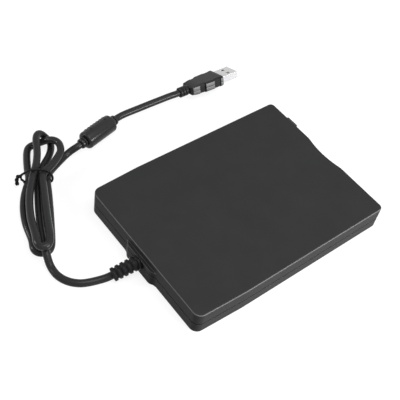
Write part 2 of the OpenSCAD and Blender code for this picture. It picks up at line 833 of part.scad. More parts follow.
module lead_screw() {
    color([0.75, 0.75, 0.78]) translate([lead_x, 0, lead_z])
        y_bore(lead_r, bracket_y[0], bracket_y[1] + 7);
}

module screw_bracket() {
    color([0.7, 0.72, 0.74]) difference() {
        union() {
            span([lead_x - 3.5, bracket_y[0], deck_z],
                 [lead_x + 3.5, bracket_y[0] + 0.8, lead_z + 2.6]);
            span([lead_x - 6.5, bracket_y[1], deck_z],
                 [lead_x + 6.5, bracket_y[1] + 0.8, lead_z + 4]);
            span([lead_x + 3.6, bracket_y[0], deck_z], [lead_x + 6.5, bracket_y[1] + 0.8, deck_z + 0.8]);
            span([lead_x - 3.5, bracket_y[0], deck_z], [lead_x + 6.5, bracket_y[0] + 3, deck_z + 0.8]);
        }
        translate([lead_x, 0, lead_z]) y_bore(lead_r + 0.06, bracket_y[0] - over, bracket_y[1] + 2);
    }
}

// ---------- boards ----------

board_x = [-36, -8];
board_y = [back_y - 12, back_y - 4];
main_x = [-46, -20];
main_y = [disk_end + 3, board_y[0] - 4.4];
main_z = deck_z + 0.8;
board_z = floor_z + 2.2;
board_t = 1;

module main_board() {
    at = chassis_screw_at[1];
    color([0.13, 0.4, 0.22]) {
        difference() {
            span([main_x[0], main_y[0], main_z], [main_x[1], main_y[1], main_z + board_t]);
            translate([-at.x, at.y, main_z - over]) cylinder(d = screw_d + 3.6, h = 4, $fn = small);
        }
        for (x = [main_x[0] + 2, main_x[1] - 2], y = [main_y[0] + 2, main_y[1] - 3])
            translate([x, y, deck_z]) cylinder(r = 1.2, h = main_z - deck_z + 0.1, $fn = small);
    }
}

module main_board_parts() {
    y = main_y[0];
    z = main_z + board_t;
    color([0.12, 0.12, 0.13]) {
        span([-36, y + 3, z], [-29, y + 10, z + 1.4]);
        span([-27, y + 3, z], [-22, y + 7, z + 1.2]);
        for (i = [0 : 4]) span([-30 + 1.8 * i, y + 12, z], [-29.1 + 1.8 * i, y + 13.8, z + 0.6]);
        span([-36, main_y[1] - 4.4, z], [-22, main_y[1] - 1.4, z + 1.2]);
    }
}

module interface_board() {
    color([0.13, 0.4, 0.22])
        span([board_x[0] - 2, board_y[0], board_z], [board_x[1] + 2, board_y[1], board_z + board_t]);
}

module interface_parts() {
    y = board_y[0];
    z = board_z + board_t;
    color([0.12, 0.12, 0.13]) {
        span([-20, y + 2, z], [-13, y + 7, z + 1.2]);
        span([-34, y + 1, z], [-24, y + 3.4, z + 1.2]);
        span([-26, y + 4.5, z], [-22.5, y + 6, z + 1.4]);
        span([-10.5, y + 1, z], [-6.5, y + 7, z + 2.4]);
    }
}

module flat_cable() {
    a = main_z + board_t + 1.2;
    b = board_z + board_t + 1.2;
    t = 0.25;
    color([0.9, 0.88, 0.8]) translate([-34, board_y[0], 0]) rotate([90, 0, 90]) linear_extrude(10)
        polygon([[-7.5, a], [-4, a], [-1.4, b + 0.8], [0.6, b], [3, b], [3, b + t],
                 [0.7, b + t], [-1.4, b + 0.8 + t], [-4.1, a + t], [-7.5, a + t]]);
}

module inner_lead() {
    y = back_y - wall_t - relief_flange_t;
    path = [[0, y, seam_z], [0, y - 0.8, seam_z], [-0.4, y - 2, seam_z], [-1.6, y - 3.4, seam_z - 0.2],
            [-3.4, y - 4.2, seam_z - 0.5], [-5.2, y - 4.5, seam_z - 0.6], [-6.5, y - 4.5, seam_z - 0.6]];
    color([0.3, 0.3, 0.3]) tube(path, 1.4, 8, [0, 0, 1]);
}

// ---------- fasteners and feet ----------

module screw(at, length) {
    translate([at.x, at.y, case_z + 0.35]) cylinder(d = head_d, h = 1, $fn = small);
    translate([at.x, at.y, case_z + 1.35]) cylinder(d = screw_d, h = length, $fn = small);
}

module chassis_screws() {
    color("silver") both_sides() for (at = chassis_screw_at) screw(at, deck_z - case_z);
}

module case_screws() {
    color("silver") both_sides() screw(post_at, seam_z - case_z + 3);
}

module rubber_feet() {
    color([0.1, 0.1, 0.1]) both_sides() for (at = foot_at) translate([at.x, at.y, 0]) {
        cylinder(d1 = foot_d - 0.8, d2 = foot_d, h = 0.4, $fn = small);
        translate([0, 0, 0.4]) cylinder(d = foot_d, h = foot_h + 0.1, $fn = small);
    }
}

// ---------- cord ----------

cord_r = cord_d / 2;
relief_dir = [0.19, 0.93, -0.31];
relief_tip = [3.1, back_y + 17, 3.75];
relief_l = 15.4;

// Unit vector
function unit(v) = v / norm(v);
function mix(a, b, t) = a + (b - a) * t;
function ease(t) = t * t * (3 - 2 * t);
function clamp01(t) = min(1, max(0, t));

// Smooth curve through points, n steps between each pair
function bend(p, i, t) =
    let(a = p[max(0, i - 1)], b = p[i], c = p[i + 1], d = p[min(len(p) - 1, i + 2)])
    0.5 * (2 * b + (c - a) * t + (2 * a - 5 * b + 4 * c - d) * t * t
           + (3 * b - a - 3 * c + d) * t * t * t);
function smooth_path(p, n) = concat(
    [for (i = [0 : len(p) - 2], k = [0 : n - 1]) bend(p, i, k / n)], [p[len(p) - 1]]);

// Tube along points, its rings square to the path
module tube(p, r, sides, ref) {
    n = len(p);
    rings = [for (i = [0 : n - 1])
        let(t = unit(p[min(n - 1, i + 1)] - p[max(0, i - 1)]),
            u = unit(cross(ref, t)), v = cross(t, u))
        for (k = [0 : sides - 1]) let(a = 360 * (k + 0.5) / sides)
            p[i] + r * (cos(a) * u + sin(a) * v)];
    walls = [for (i = [0 : n - 2], k = [0 : sides - 1])
        let(a = i * sides + k, b = i * sides + (k + 1) % sides)
        each [[a, b + sides, b], [a, a + sides, b + sides]]];
    start = [for (k = [1 : sides - 2]) [0, k, k + 1]];
    end = [for (k = [1 : sides - 2]) let(e = (n - 1) * sides) [e, e + k + 1, e + k]];
    polyhedron(rings, concat(walls, start, end));
}

// Hank: two and a half long loops drawn in by the tie
tie_at = [84.4, mid_y + 87.5];
hank_turn = -29;
runs = 5;
pitch = cord_d + 0.7;
low_z = cord_r;
waist_z = cord_r + tie_d + 0.2;
rise = pitch * sqrt(3) / 2 + 0.1;
hank_s = [cos(hank_turn), sin(hank_turn), 0];
hank_u = [sin(hank_turn), -cos(hank_turn), 0];

// Point of the hank: s along it, u across it, z up
function hank_point(s, u, z) = [tie_at.x, tie_at.y, 0] + s * hank_s + u * hank_u + [0, 0, z];

// Across the waist each run takes the next place on the left or the right
function waist_u(i) = pitch / 2 * ceil(i / 2) * (i % 2 == 0 ? 1 : -1);
function waist_h(i) = waist_z + (i == 1 || i == 2 ? rise : 0);

// Lower ends of the runs: distance below the tie, place across, height, bulge between, swing
low_end = [[-52.6, 2.2, 7.5, -1.2, 0], [-48, -2.2, 12.2, -2.9, 0], [-48, 5.5, 12.2, -0.3, 0],
           [-44, -4.4, low_z, -4, 0], [-44, 6.4, low_z, 0.3, 0]];
// Upper ends of the runs: distance above the tie, place across, height, bulge between, swing
high_end = [[27, 8.6, low_z, 0, 8.6], [27, -0.5, 9, 1.4, 0], [18, 14.4, 9, 1.2, 0],
            [22, -6.4, low_z, -0.4, 0]];

// One half of a run, from the tie to an end; t is 0 at the tie and 1 at the end
function run_point(i, end, t) = hank_point(end[0] * t,
    mix(waist_u(i), end[1], t) + t * (1 - t) * (4 * end[3] + end[4] * (2 * t - 1)),
    mix(waist_h(i), end[2], clamp01((t < 0.35 ? ease(t / 0.35) * 0.35 : t)
        + (end[2] > waist_h(i) ? t * (t - 1) * 0.6 : 0))));

// Half turn from one run's end to the next
function fold_point(a, b, depth, t) =
    let(c = cos(180 * t), s0 = mix(a[0], b[0], t), e = ease(clamp01((t - 0.25) / 0.5)))
    hank_point(s0 + depth * sin(180 * t), mix(a[1], b[1], (1 - c) / 2), mix(a[2], b[2], e));

half_rings = 4;
fold_rings = 8;
lower_depth = 8.5;
upper_depths = [7.6, 9.4];

function up_run(i) = concat(
    [for (k = [half_rings : -1 : 1]) run_point(i, low_end[i], k / half_rings)],
    [for (k = [0 : i < 4 ? half_rings : 1]) i < 4 ? run_point(i, high_end[i], k / half_rings)
        : hank_out[k]]);
function down_run(i) = concat(
    [for (k = [half_rings : -1 : 1]) run_point(i, high_end[i], k / half_rings)],
    [for (k = [0 : half_rings]) run_point(i, low_end[i], k / half_rings)]);
function fold(a, b, depth) =
    [for (k = [1 : fold_rings - 1]) fold_point(a, b, depth, k / fold_rings)];

hank_in = [hank_point(-66.4, 7, low_z), hank_point(-62.6, 5.1, low_z), hank_point(-59.7, 4, 4.6),
    hank_point(-56.4, 3.1, 6.8)];
hank_out = [hank_point(0, waist_u(4), waist_h(4)), hank_point(6, 6.9, 2.9)];
hank_path = concat(hank_in, up_run(0), fold(high_end[0], high_end[1], upper_depths[0]),
    down_run(1), fold(low_end[1], low_end[2], -lower_depth),
    up_run(2), fold(high_end[2], high_end[3], upper_depths[1]),
    down_run(3), fold(low_end[3], low_end[4], -lower_depth - 1), up_run(4),
    [hank_point(10, 9.4, 2.4), hank_point(13.6, 12, low_z), hank_point(16.9, 14.6, low_z)]);

// Least gap between stretches of the hank that don't follow each other
function least_gap(p, far) = min([for (i = [0 : len(p) - 2], j = [0 : len(p) - 2])
    if (j > i + far) segment_gap(p[i], p[i + 1], p[j], p[j + 1])]) - cord_d;
function segment_gap(a, b, c, d) = min([for (s = [0 : 0.25 : 1], t = [0 : 0.25 : 1])
    norm(mix(a, b, s) - mix(c, d, t))]);
echo(hank_gap = least_gap(hank_path, 6), hank_rings = len(hank_path));

// Ferrite and plug places
ferrite_at = [97.6, mid_y + 36.1, ferrite_d / 2 + 0.05];
ferrite_turn = 13.3;
collar_l = 4;
ferrite_dir = [sin(ferrite_turn), -cos(ferrite_turn), 0];
ferrite_end = ferrite_l / 2 + collar_l;
plug_at = [99.9, mid_y - 37.4, 6.3];
plug_roll = 22;
plug_turn = -1.8;
plug_relief_l = 7;

// Route of the free stretches, points chosen along the photographed cord
route_from = [0, mid_y, 0];
case_route = [for (p = [[5.2, 96.2, 2.3], [6.6, 100.7, 2.3], [8.3, 104.8, 2.3], [10.6, 107.9, 2.3],
                        [14, 110.9, 2.3], [18.1, 112.8, 2.3]]) p + route_from];
hank_start = unit(hank_path[1] - hank_path[0]);
case_path = concat([for (d = [0.15, 3]) relief_tip + d * relief_dir], case_route,
    [for (d = [1.6, 0.15]) hank_path[0] - d * hank_start]);
hank_last = hank_path[len(hank_path) - 1];
hank_way = unit(hank_last - hank_path[len(hank_path) - 2]);
ferrite_route = [for (p = [[93.9, 61.7, 2.6], [94, 57, 4.4]]) p + route_from];
ferrite_path = concat([hank_last + 0.15 * hank_way, hank_last + 3 * hank_way], ferrite_route,
    [for (d = [2.5, 0.15]) ferrite_at - (ferrite_end + d) * ferrite_dir]);
plug_route = [for (p = [[102.1, 13, 6.1], [102, 6.6, 6], [101.8, 0, 6], [101.5, -8, 6.1],
                        [101.1, -16, 6.2], [100.6, -24, 6.4]]) p + route_from];
plug_back = [-sin(plug_turn), cos(plug_turn), 0];
plug_end = plug_at + (plug_relief_l + 0.15) * plug_back;
plug_path = concat([for (d = [0.15, 2.5]) ferrite_at + (ferrite_end + d) * ferrite_dir],
    plug_route, [plug_end + 2.5 * plug_back, plug_end]);

module cord_tube(p, n) {
    color([0.14, 0.14, 0.15]) tube(n > 1 ? smooth_path(p, n) : p, cord_r, 8, [0, 0, 1]);
}

module cord_from_case() { cord_tube(case_path, 1); }
module cord_to_ferrite() { cord_tube(ferrite_path, 1); }
module cord_to_plug() { cord_tube(plug_path, 1); }

module cord_hank() {
    color([0.14, 0.14, 0.15]) tube(hank_path, cord_r, 6, [0, 0, 1]);
}

// Point the Z axis along a direction
module along(at, dir) {
    translate(at) rotate([0, acos(dir.z / norm(dir)), atan2(dir.y, dir.x)]) children();
}

module strain_relief() {
    root = relief_tip - relief_l * unit(relief_dir);
    flange_y = back_y - wall_t - relief_flange_t;
    ribs = 5;
    rib_pitch = relief_l / ribs;
    color([0.15, 0.15, 0.16]) {
        translate([0, 0, seam_z]) {
            y_bore(neck_r, flange_y, back_y + pad_out + 0.9);
            y_bore(relief_flange_r, flange_y, back_y - wall_t - 0.05);
            y_bore(neck_r + 0.9, back_y + pad_out + 0.05, back_y + pad_out + 1.6);
        }
        along(root, relief_dir) {
            cylinder(r = neck_r + 0.25, h = relief_l - 0.5, $fn = small);
            for (i = [0 : ribs - 1]) translate([0, 0, rib_pitch * i + rib_pitch * 0.3])
                cylinder(r1 = 4.35 - 0.08 * i, r2 = 4.25 - 0.08 * i, h = rib_pitch * 0.7, $fn = small);
        }
    }
}

module twist_tie() {
    r = tie_d / 2;
    w = 1.5 * pitch;
    low = r + 0.05;
    mid = waist_z + 0.4;
    top = waist_z + rise + cord_r + r + 0.3;
    side = pitch + cord_r + r + 0.35;
    loop = [[-side - 4.6, 7.4], [-side - 1.6, 7.6], [-w, top - 1.2], [-w * 0.45, top + 0.1], [0, top + 0.2],
            [w * 0.45, top + 0.1], [w, top - 1.6], [side, mid + 1.6], [side, mid - 1.2],
            [side - 1.6, low + 0.3], [side / 2, low], [0, low], [-side / 2, low],
            [-side + 1.6, low + 0.3], [-side, mid - 1.2], [-side - 0.5, mid + 1.8], [-side - 2, 6],
            [-side - 5, 5.6], [-side - 6.4, 5.2]];
    path = [for (i = [0 : len(loop) - 1])
        hank_point(2.2 - 4.4 * i / (len(loop) - 1), loop[i][0], loop[i][1])];
    color([0.1, 0.1, 0.1]) tube(path, r, 6, hank_s);
}

module ferrite_cover() {
    r = ferrite_d / 2;
    round = 1.6;
    half = ferrite_l / 2;
    color([0.16, 0.16, 0.17]) along(ferrite_at, ferrite_dir) difference() {
        union() {
            rotate_extrude($fn = fine) polygon(concat([[0, -half]],
                [for (a = [0 : 15 : 90]) [r - round + round * sin(a), -half + round - round * cos(a)]],
                [for (a = [0 : 15 : 90]) [r - round + round * cos(a), half - round + round * sin(a)]],
                [[0, half]]));
            for (s = [0, 1]) mirror([0, 0, s]) {
                translate([0, 0, half - 0.5]) cylinder(r = cord_r + 0.7, h = collar_l + 0.5, $fn = small);
                translate([0, 0, half + 0.9]) cylinder(r = cord_r + 2, h = 1.1, $fn = small);
                translate([0, 0, half + 2.7]) cylinder(r = cord_r + 1.6, h = 1.1, $fn = small);
            }
            // Row of small dashes along one side
            for (i = [-3 : 3]) rotate([0, 0, 160]) translate([0, 0, i * 2.8])
                span([r - 0.4, -1.6, -0.6], [r + 0.25, 1.6, 0.6]);
        }
        translate([0, 0, -ferrite_core_l / 2 - 0.05])
            cylinder(r = ferrite_core_r + 0.05, h = ferrite_core_l + 0.1, $fn = fine);
    }
}

ferrite_core_r = ferrite_d / 2 - 1.3;
ferrite_core_l = ferrite_l - 5;

module ferrite_core() {
    color([0.35, 0.35, 0.37]) along(ferrite_at, ferrite_dir) difference() {
        translate([0, 0, -ferrite_core_l / 2]) cylinder(r = ferrite_core_r, h = ferrite_core_l, $fn = fine);
        translate([0, 0, -ferrite_core_l]) cylinder(r = cord_r + 0.2, h = 2 * ferrite_core_l, $fn = fine);
    }
}

// Plug frame: X across, -Y forward, Z through the thickness
module plug_frame() {
    translate(plug_at) rotate([0, 0, plug_turn]) rotate([0, plug_roll, 0]) children();
}

// Grips on the narrow sides, from and to
grip_spans = [[1.2, 6.8], [11, 18.5], [23.6, 26]];
groove_ds = [1.2, 0.5];

module plug_plan() {
    w = plug_w / 2;
    neck = 5.2;
    half = [[neck, 0], [neck + 0.8, -0.9], [w - 1.2, -6.8], [w - 0.3, -11], [w, -12.5],
            [w, -plug_l + 1.4], [w - 1.4, -plug_l]];
    polygon(concat(half, [for (i = [len(half) - 1 : -1 : 0]) [-half[i].x, half[i].y]]));
}

module plug_cover() {
    h = plug_h / 2;
    color([0.17, 0.17, 0.18]) plug_frame() difference() {
        union() {
            translate([0, 0, -h + 0.7]) linear_extrude(plug_h - 1.4) plug_plan();
            hull() {
                translate([0, 0, -h]) linear_extrude(plug_h) plug_plan_inset();
                translate([0, 0, -h + 0.7]) linear_extrude(plug_h - 1.4) plug_plan();
            }
            // Ribbed relief
            y_bore(cord_r + 0.7, -1, plug_relief_l);
            for (i = [0 : 2]) y_bore(cord_r + 1.2, 0.6 + 2.2 * i, 2.1 + 2.2 * i);
        }
        // Grooves between the grips on both narrow sides
        both_sides() for (i = [0, 1])
            span([plug_w / 2 - groove_ds[i], -grip_spans[i + 1][0], -h + 0.6],
                 [plug_w / 2 + over, -grip_spans[i][1], h - 0.6]);
        span([-shell_w / 2 - 0.05, -plug_l - over, -shell_h / 2 - 0.05],
             [shell_w / 2 + 0.05, -plug_l + 5, shell_h / 2 + 0.05]);
    }
}

module plug_plan_inset() {
    scale_x = (plug_w - 1.6) / plug_w;
    translate([0, -0.5]) scale([scale_x, (plug_l - 1) / plug_l]) plug_plan();
}

module plug_shell() {
    t = 0.3;
    front = -plug_l - shell_l;
    color([0.82, 0.83, 0.85]) plug_frame() difference() {
        span([-shell_w / 2, front, -shell_h / 2], [shell_w / 2, -plug_l + 4.9, shell_h / 2]);
        span([-shell_w / 2 + t, front - over, -shell_h / 2 + t],
             [shell_w / 2 - t, -plug_l + 4.4, shell_h / 2 - t]);
        // Square latch holes in both wide faces
        for (x = [-2.9, 2.9]) span([x - 1.1, front + 4.8, -shell_h], [x + 1.1, front + 7, shell_h]);
    }
}

tongue_at = [-plug_l - shell_l + 0.8, -plug_l + 4.3];

module plug_tongue() {
    t = 0.3;
    color([0.9, 0.9, 0.88]) plug_frame()
        span([-shell_w / 2 + t + 0.05, tongue_at[0], -shell_h / 2 + t + 0.05],
             [shell_w / 2 - t - 0.05, tongue_at[1], -shell_h / 2 + t + 1.85]);
}

module plug_contacts() {
    z = -shell_h / 2 + 0.3 + 1.85;
    xs = [-3.5, -1, 1, 3.5];
    fronts = [0.6, 1.6, 1.6, 0.6];
    color([0.85, 0.7, 0.3]) plug_frame() for (i = [0 : 3])
        span([xs[i] - 0.5, tongue_at[0] + fronts[i], z], [xs[i] + 0.5, tongue_at[1], z + 0.15]);
}

top_cover();
bottom_cover();
front_bezel();
dust_door();
door_pin();
door_spring();
activity_lamp();
eject_button();
slide_plate();
eject_springs();
disk_holder();
holder_pins();
shutter_lever();
lever_pivot();
chassis();
motor_board();
stator();
spindle_bearing();
rotor_cup();
hub_plate();
spindle_shaft();
drive_pin();
head_carriage();
lower_head();
upper_arm();
upper_head();
arm_pin();
arm_spring();
guide_rod();
rod_clamps();
clamp_screws();
stepper_motor();
lead_screw();
screw_bracket();
main_board();
main_board_parts();
interface_board();
interface_parts();
flat_cable();
inner_lead();
chassis_screws();
case_screws();
rubber_feet();
strain_relief();
cord_from_case();
cord_hank();
twist_tie();
cord_to_ferrite();
ferrite_cover();
ferrite_core();
cord_to_plug();
plug_cover();
plug_shell();
plug_tongue();
plug_contacts();
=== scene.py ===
import json
import math

import bmesh
import bpy
from mathutils import Matrix, Vector


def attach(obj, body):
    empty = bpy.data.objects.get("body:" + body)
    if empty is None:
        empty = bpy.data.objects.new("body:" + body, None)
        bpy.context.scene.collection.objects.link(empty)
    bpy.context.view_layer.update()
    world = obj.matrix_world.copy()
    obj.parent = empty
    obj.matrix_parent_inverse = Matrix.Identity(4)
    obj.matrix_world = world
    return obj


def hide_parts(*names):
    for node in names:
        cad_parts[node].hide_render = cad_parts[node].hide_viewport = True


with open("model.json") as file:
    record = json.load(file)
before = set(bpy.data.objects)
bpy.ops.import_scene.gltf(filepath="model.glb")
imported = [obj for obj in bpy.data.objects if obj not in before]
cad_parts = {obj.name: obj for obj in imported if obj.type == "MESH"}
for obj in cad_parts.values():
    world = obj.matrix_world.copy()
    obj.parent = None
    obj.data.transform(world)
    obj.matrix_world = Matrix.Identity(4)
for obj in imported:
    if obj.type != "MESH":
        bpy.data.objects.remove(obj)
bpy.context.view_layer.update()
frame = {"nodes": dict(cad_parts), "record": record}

nodes = frame["nodes"]
MM = 0.001
MID_Y = 3.3  # the case's middle, in the row frame, mm


def mm(*p):
    return Vector(p) * MM


# ---------------------------------------------------------------- camera

def make_camera():
    """The photograph's camera, from the fit of the case's corners: angles, roll, distance and lens."""
    azimuth, elevation, roll = (math.radians(a) for a in (222.929, 50.19, 11.935))
    distance, focal_px, photo_px = 466.87 * MM, 776.58, 400
    back = Vector((math.sin(azimuth) * math.cos(elevation),
                   -math.cos(azimuth) * math.cos(elevation), math.sin(elevation)))
    right = Vector((math.cos(azimuth), math.sin(azimuth), 0))
    up = back.cross(right)
    c, s = math.cos(roll), math.sin(roll)
    right, up = c * right + s * up, c * up - s * right
    target = mm(16.114, 16.885 + MID_Y, 10)
    data = bpy.data.cameras.new("camera")
    data.sensor_fit = "HORIZONTAL"
    data.sensor_width = 36
    data.lens = 36 * focal_px / photo_px
    data.clip_start, data.clip_end = 0.01, 50
    camera = bpy.data.objects.new("camera", data)
    bpy.context.collection.objects.link(camera)
    m = Matrix.Identity(4)
    for i, axis in enumerate((right, up, back)):
        for k in range(3):
            m[k][i] = axis[k]
    m.translation = target + back * distance
    camera.matrix_world = m
    bpy.context.scene.camera = camera


make_camera()


# ---------------------------------------------------------------- cord route, as in the part's source

CORD_D = 4.6
CORD_R = CORD_D / 2
TIE_D = 1.2
TIE_AT = Vector((84.4, MID_Y + 87.5, 0))
HANK_TURN = math.radians(-29)
HANK_S = Vector((math.cos(HANK_TURN), math.sin(HANK_TURN), 0))
HANK_U = Vector((math.sin(HANK_TURN), -math.cos(HANK_TURN), 0))
PITCH = CORD_D + 0.7
RISE = PITCH * math.sqrt(3) / 2 + 0.1
LOW_Z = CORD_R
WAIST_Z = CORD_R + TIE_D + 0.2
LOW_END = [(-52.6, 2.2, 7.5, -1.2, 0), (-48, -2.2, 12.2, -2.9, 0), (-48, 5.5, 12.2, -0.3, 0),
           (-44, -4.4, LOW_Z, -4, 0), (-44, 6.4, LOW_Z, 0.3, 0)]
HIGH_END = [(27, 8.6, LOW_Z, 0, 8.6), (27, -0.5, 9, 1.4, 0), (18, 14.4, 9, 1.2, 0),
            (22, -6.4, LOW_Z, -0.4, 0)]
RELIEF_DIR = Vector((0.19, 0.93, -0.31))
RELIEF_TIP = Vector((3.1, MID_Y + 88.4, 3.75))
FERRITE_D, FERRITE_L, COLLAR_L = 11.7, 24, 4
FERRITE_AT = Vector((97.6, MID_Y + 36.1, FERRITE_D / 2 + 0.05))
FERRITE_TURN = math.radians(13.3)
FERRITE_DIR = Vector((math.sin(FERRITE_TURN), -math.cos(FERRITE_TURN), 0))
FERRITE_END = FERRITE_L / 2 + COLLAR_L
PLUG_AT = Vector((99.9, MID_Y - 37.4, 6.3))
PLUG_ROLL, PLUG_TURN = math.radians(22), math.radians(-1.8)
PLUG_BACK = Vector((-math.sin(PLUG_TURN), math.cos(PLUG_TURN), 0))
PLUG_RELIEF_L = 7


def mix(a, b, t):
    return a + (b - a) * t


def ease(t):
    return t * t * (3 - 2 * t)


def clamp01(t):
    return min(1, max(0, t))


def hank_point(s, u, z):
    return TIE_AT + s * HANK_S + u * HANK_U + Vector((0, 0, z))


def waist_u(i):
    return PITCH / 2 * math.ceil(i / 2) * (1 if i % 2 == 0 else -1)


def waist_h(i):
    return WAIST_Z + (RISE if i in (1, 2) else 0)


def run_point(i, end, t):
    fall = ease(t / 0.35) * 0.35 if t < 0.35 else t
    lift = t * (t - 1) * 0.6 if end[2] > waist_h(i) else 0
    return hank_point(end[0] * t,
                      mix(waist_u(i), end[1], t) + t * (1 - t) * (4 * end[3] + end[4] * (2 * t - 1)),
                      mix(waist_h(i), end[2], clamp01(fall + lift)))


def fold_point(a, b, depth, t):
    e = ease(clamp01((t - 0.25) / 0.5))
    return hank_point(mix(a[0], b[0], t) + depth * math.sqrt(math.sin(math.pi * t)),
                      mix(a[1], b[1], (1 - math.cos(math.pi * t)) / 2), mix(a[2], b[2], e))


def hank_points():
    n, folds = 4, 8

    def to_tie(i, end):
        return [run_point(i, end, k / n) for k in range(n, 0, -1)]

    def from_tie(i, end):
        return [run_point(i, end, k / n) for k in range(n + 1)]

    def fold(a, b, depth):
        return [fold_point(a, b, depth, k / folds) for k in range(1, folds)]

    p = [hank_point(-66.4, 7, LOW_Z), hank_point(-62.6, 5.1, LOW_Z), hank_point(-59.7, 4, 4.6),
         hank_point(-56.4, 3.1, 6.8)]
    p += to_tie(0, LOW_END[0]) + from_tie(0, HIGH_END[0]) + fold(HIGH_END[0], HIGH_END[1], 7.6)
    p += to_tie(1, HIGH_END[1]) + from_tie(1, LOW_END[1]) + fold(LOW_END[1], LOW_END[2], -8.5)
    p += to_tie(2, LOW_END[2]) + from_tie(2, HIGH_END[2]) + fold(HIGH_END[2], HIGH_END[3], 9.4)
    p += to_tie(3, HIGH_END[3]) + from_tie(3, LOW_END[3]) + fold(LOW_END[3], LOW_END[4], -9.5)
    p += to_tie(4, LOW_END[4]) + [hank_point(0, waist_u(4), waist_h(4)), hank_point(6, 6.9, 2.9)]
    p += [hank_point(10, 9.4, 2.4), hank_point(13.6, 12, LOW_Z), hank_point(16.9, 14.6, LOW_Z)]
    return p


def shifted(points):
    return [Vector((x, MID_Y + y, z)) for x, y, z in points]


def cord_points():
    hank = hank_points()
    start = (hank[1] - hank[0]).normalized()
    way = (hank[-1] - hank[-2]).normalized()
    first = [RELIEF_TIP + d * RELIEF_DIR for d in (-3, 0.15, 3)]
    first += shifted([(5.2, 96.2, 2.3), (6.6, 100.7, 2.3), (8.3, 104.8, 2.3), (10.6, 107.9, 2.3),
                      (14, 110.9, 2.3), (18.1, 112.8, 2.3)])
    first += [hank[0] - 1.6 * start] + hank + [hank[-1] + 3 * way]
    first += shifted([(93.9, 61.7, 2.6), (94, 57, 4.4)])
    first += [FERRITE_AT - (FERRITE_END + d) * FERRITE_DIR for d in (2.5, 0.15)]
    second = [FERRITE_AT + (FERRITE_END + d) * FERRITE_DIR for d in (0.15, 2.5)]
    second += shifted([(102.1, 13, 6.1), (102, 6.6, 6), (101.8, 0, 6), (101.5, -8, 6.1),
                       (101.1, -16, 6.2), (100.6, -24, 6.4)])
    second += [PLUG_AT + (PLUG_RELIEF_L + 0.15 + d) * PLUG_BACK for d in (2.5, 0, -3)]
    return first, second


def smooth(points, n):
    """Catmull-Rom curve through the points, n steps between each pair."""
    out = []
    last = len(points) - 1
    for i in range(last):
        a, b, c, d = points[max(0, i - 1)], points[i], points[i + 1], points[min(last, i + 2)]
        for k in range(n):
            t = k / n
            out.append(0.5 * (2 * b + (c - a) * t + (2 * a - 5 * b + 4 * c - d) * t * t
                              + (3 * b - a - 3 * c + d) * t * t * t))
    out.append(points[last])
    return out


def evenly(points, step):
    """The same line with its points about a step apart."""
    total = line_length(points)
    count = round(total / step)
    out, done = [], 0
    for a, b in zip(points, points[1:]):
        length = (b - a).length
        while length and len(out) < count and len(out) * total / count <= done + length:
            out.append(a.lerp(b, (len(out) * total / count - done) / length))
        done += length
    return out + [points[-1]]


def relaxed(points, times):
    """The line without its small kinks; its ends stay."""
    for _ in range(times):
        points = (points[:2] + [(a + 2 * b + c) / 4 for a, b, c in zip(points[1:], points[2:], points[3:])]
                  + points[-1:])
    return points


def line_length(points):
    return sum((q - p).length for p, q in zip(points, points[1:]))


def make_curve(name, points, radius, sides=6, cap=True):
    """A round tube as a curve of one open spline; points are in mm.

    The points' radius is the tube's, because Blender adds that radius to the curve's box.
    """
    data = bpy.data.curves.new(name, "CURVE")
    data.dimensions = "3D"
    data.bevel_depth = 1
    data.bevel_resolution = sides
    data.use_fill_caps = cap
    spline = data.splines.new("POLY")
    spline.points.add(len(points) - 1)
    for p, q in zip(spline.points, points):
        p.co = (*(Vector(q) * MM), 1)
        p.radius = radius * MM
    spline.use_smooth = True
    obj = bpy.data.objects.new(name, data)
    bpy.context.collection.objects.link(obj)
    return obj


first_route, second_route = cord_points()
first_line, second_line = (relaxed(evenly(smooth(route, 12), 1), 8)
                           for route in (first_route, second_route))
case_cord = make_curve("cord_case_to_ferrite", first_line, CORD_R)
plug_cord = make_curve("cord_ferrite_to_plug", second_line, CORD_R)
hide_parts("cord_from_case", "cord_hank", "cord_to_ferrite")
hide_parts("cord_to_plug")
for obj in (case_cord, plug_cord):
    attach(obj, "case")


# ---------------------------------------------------------------- mesh helpers

def new_object(name, bm, smooth_angle=35):
    """An object from a bmesh in mm, its normals outward and its sharp edges kept."""
    bmesh.ops.remove_doubles(bm, verts=bm.verts, dist=1e-4)
    bmesh.ops.recalc_face_normals(bm, faces=bm.faces)
    bmesh.ops.scale(bm, vec=(MM, MM, MM), verts=bm.verts)
    mesh = bpy.data.meshes.new(name)
    bm.to_mesh(mesh)
    bm.free()
    mesh.shade_smooth()
    mesh.set_sharp_from_angle(angle=math.radians(smooth_angle))
    obj = bpy.data.objects.new(name, mesh)
    bpy.context.collection.objects.link(obj)
    return obj


def axes_along(at, direction, up=(0, 0, 1)):
    """Matrix whose Z runs along direction, X level and Y towards up."""
    z = Vector(direction).normalized()
    x = Vector(up).cross(z).normalized()
    y = z.cross(x)
    m = Matrix((x, y, z)).transposed().to_4x4()
    m.translation = Vector(at)
    return m


def add_ring(bm, m, outline):
    return [bm.verts.new(m @ Vector((x, y, 0))) for x, y in outline]


def join_rings(bm, rings, caps=True):
    """Skin over a row of rings of the same count."""
    n = len(rings[0])
    for a, b in zip(rings, rings[1:]):
        for k in range(n):
            bm.faces.new((a[k], b[k], b[(k + 1) % n], a[(k + 1) % n]))
    if caps:
        bm.faces.new(rings[0])
        bm.faces.new(rings[-1])


def circle(r, sides=48):
    return [(r * math.cos(math.tau * k / sides), r * math.sin(math.tau * k / sides))
            for k in range(sides)]


def add_turned(bm, m, profile, sides=48):
    """Turned shape about m's Z from (distance, radius) pairs."""
    join_rings(bm, [add_ring(bm, m @ Matrix.Translation((0, 0, s)), circle(r, sides))
                    for s, r in profile])


